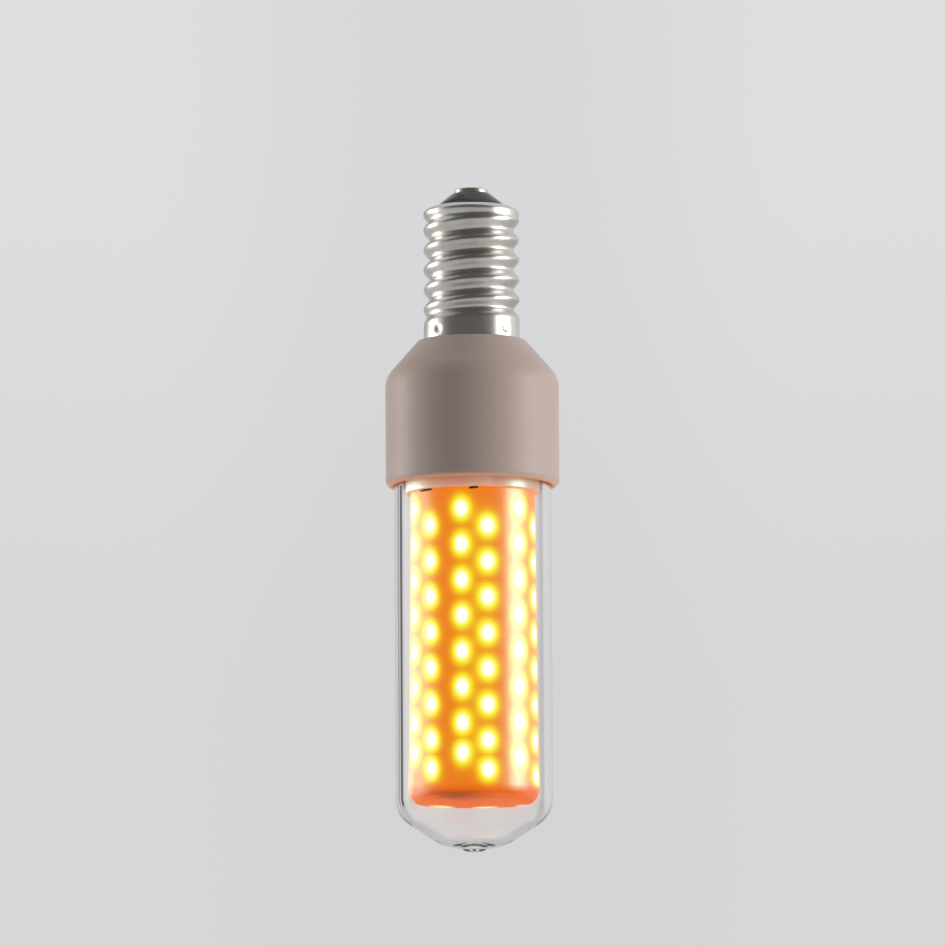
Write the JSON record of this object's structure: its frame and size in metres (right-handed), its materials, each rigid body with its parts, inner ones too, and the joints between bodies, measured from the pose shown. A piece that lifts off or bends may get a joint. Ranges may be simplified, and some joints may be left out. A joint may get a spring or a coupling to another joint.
{
  "type": "capsule led bulb",
  "caption": "Slim tubular lamp: a clear glass capsule over a glowing orange diffuser, held in a white collar with a small screw cap.",
  "frame": {"origin": "middle of the centre contact's end face", "axes": "+Z points out of the centre contact along the lamp's axis, so the lamp hangs below the origin; -Y is the front, +X is to the right seen from the front"},
  "size_m": [0.0242, 0.0242, 0.0937],
  "materials": {
    "clear_glass": "clear, polished",
    "white_housing": "moulded, semi-gloss",
    "white_ring": "moulded, satin",
    "orange_diffuser": "frosted, lit from inside",
    "led_package": "lit",
    "white_circuit": "white coated",
    "bare_aluminium": "satin",
    "white_plug": "moulded, satin",
    "nickel_plate": "nickel plated",
    "black_glass": "fused, glossy",
    "contact_metal": "plated",
    "green_board": "solder mask",
    "black_package": "moulded",
    "capacitor_case": "sleeved can",
    "resistor_body": "lacquered",
    "chip_resistor": "glazed",
    "tinned_wire": "tinned copper",
    "black_sleeving": "matte"
  },
  "bodies": {
    "root": {"base_housing": "white_housing", "bridge_rectifier": "black_package", "cap_insulator": "black_glass", "cap_shell": "nickel_plate", "carrier_ring": "white_ring", "centre_contact": "contact_metal", "core_end_plug": "white_plug", "diffuser_sleeve": "orange_diffuser", "driver_board": "green_board", "driver_chip": "black_package", "fusible_resistor": "resistor_body", "glass_envelope": "clear_glass", "heat_spreader": "bare_aluminium", "inductor": "black_package", "led_board": "white_circuit", "led_column_01": "led_package", "led_column_02": "led_package", "led_column_03": "led_package", "led_column_04": "led_package", "led_column_05": "led_package", "led_column_06": "led_package", "led_column_07": "led_package", "led_column_08": "led_package", "led_column_09": "led_package", "led_column_10": "led_package", "led_column_11": "led_package", "led_column_12": "led_package", "led_lead_negative": "black_sleeving", "led_lead_positive": "black_sleeving", "live_lead": "tinned_wire", "neutral_lead": "tinned_wire", "smd_resistors": "chip_resistor", "smoothing_capacitor": "capacitor_case"}
  },
  "joints": []
}
